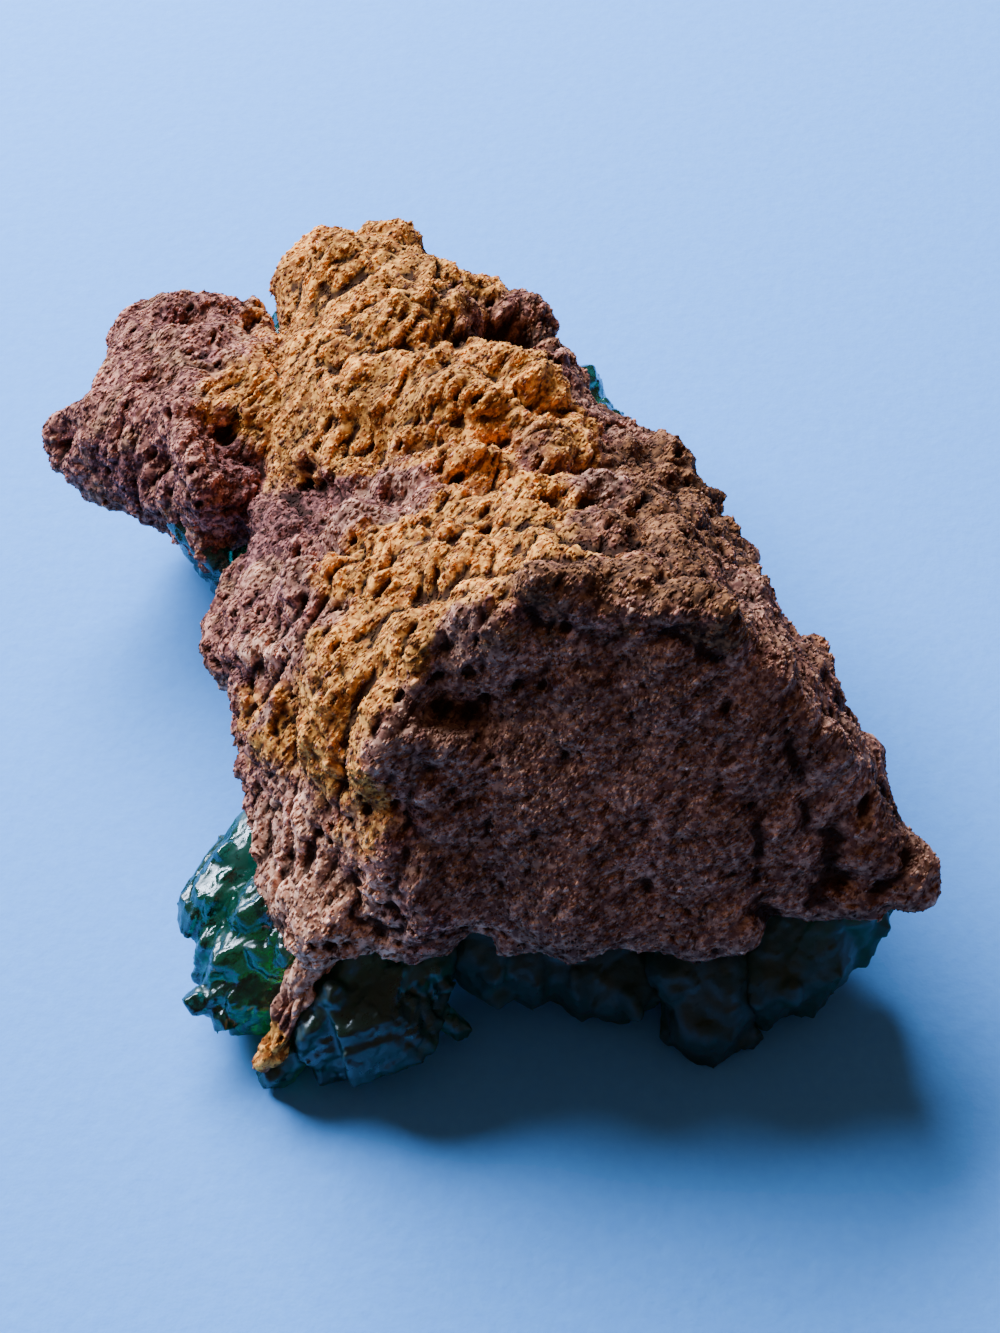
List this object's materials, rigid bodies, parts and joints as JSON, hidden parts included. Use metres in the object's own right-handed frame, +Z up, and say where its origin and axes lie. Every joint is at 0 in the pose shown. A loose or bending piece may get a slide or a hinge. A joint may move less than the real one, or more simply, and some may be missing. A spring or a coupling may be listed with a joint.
{
  "type": "dioptase on matrix mineral specimen",
  "caption": "Palm-sized mineral specimen: a porous ochre and purple-brown rock lying on the emerald-green dioptase crystals grown along its foot and underside.",
  "frame": {"origin": "on the surface that the specimen rests on, under the middle of its outline", "axes": "+Z up, -Y towards the side with the steep dark face and the large crystals, +X to the right when facing that side"},
  "size_m": [0.0646, 0.0732, 0.0309],
  "materials": {
    "limonite_matrix": "porous, sugary and matt, ochre over purple-brown",
    "dioptase": "natural glassy crystal faces, clear deep emerald to blue-green"
  },
  "bodies": {
    "root": {"matrix": "limonite_matrix", "left_crystals": "dioptase", "front_left_crystals": "dioptase", "front_crystals": "dioptase", "front_block_crystals": "dioptase", "right_crystals": "dioptase", "back_right_crystals": "dioptase", "left_notch_crystals": "dioptase", "under_front_crystals": "dioptase", "under_right_crystals": "dioptase", "under_left_crystals": "dioptase", "under_middle_crystals": "dioptase", "under_heart_crystals": "dioptase", "under_back_crystals": "dioptase", "under_end_crystals": "dioptase", "under_lobe_crystals": "dioptase"}
  },
  "joints": []
}
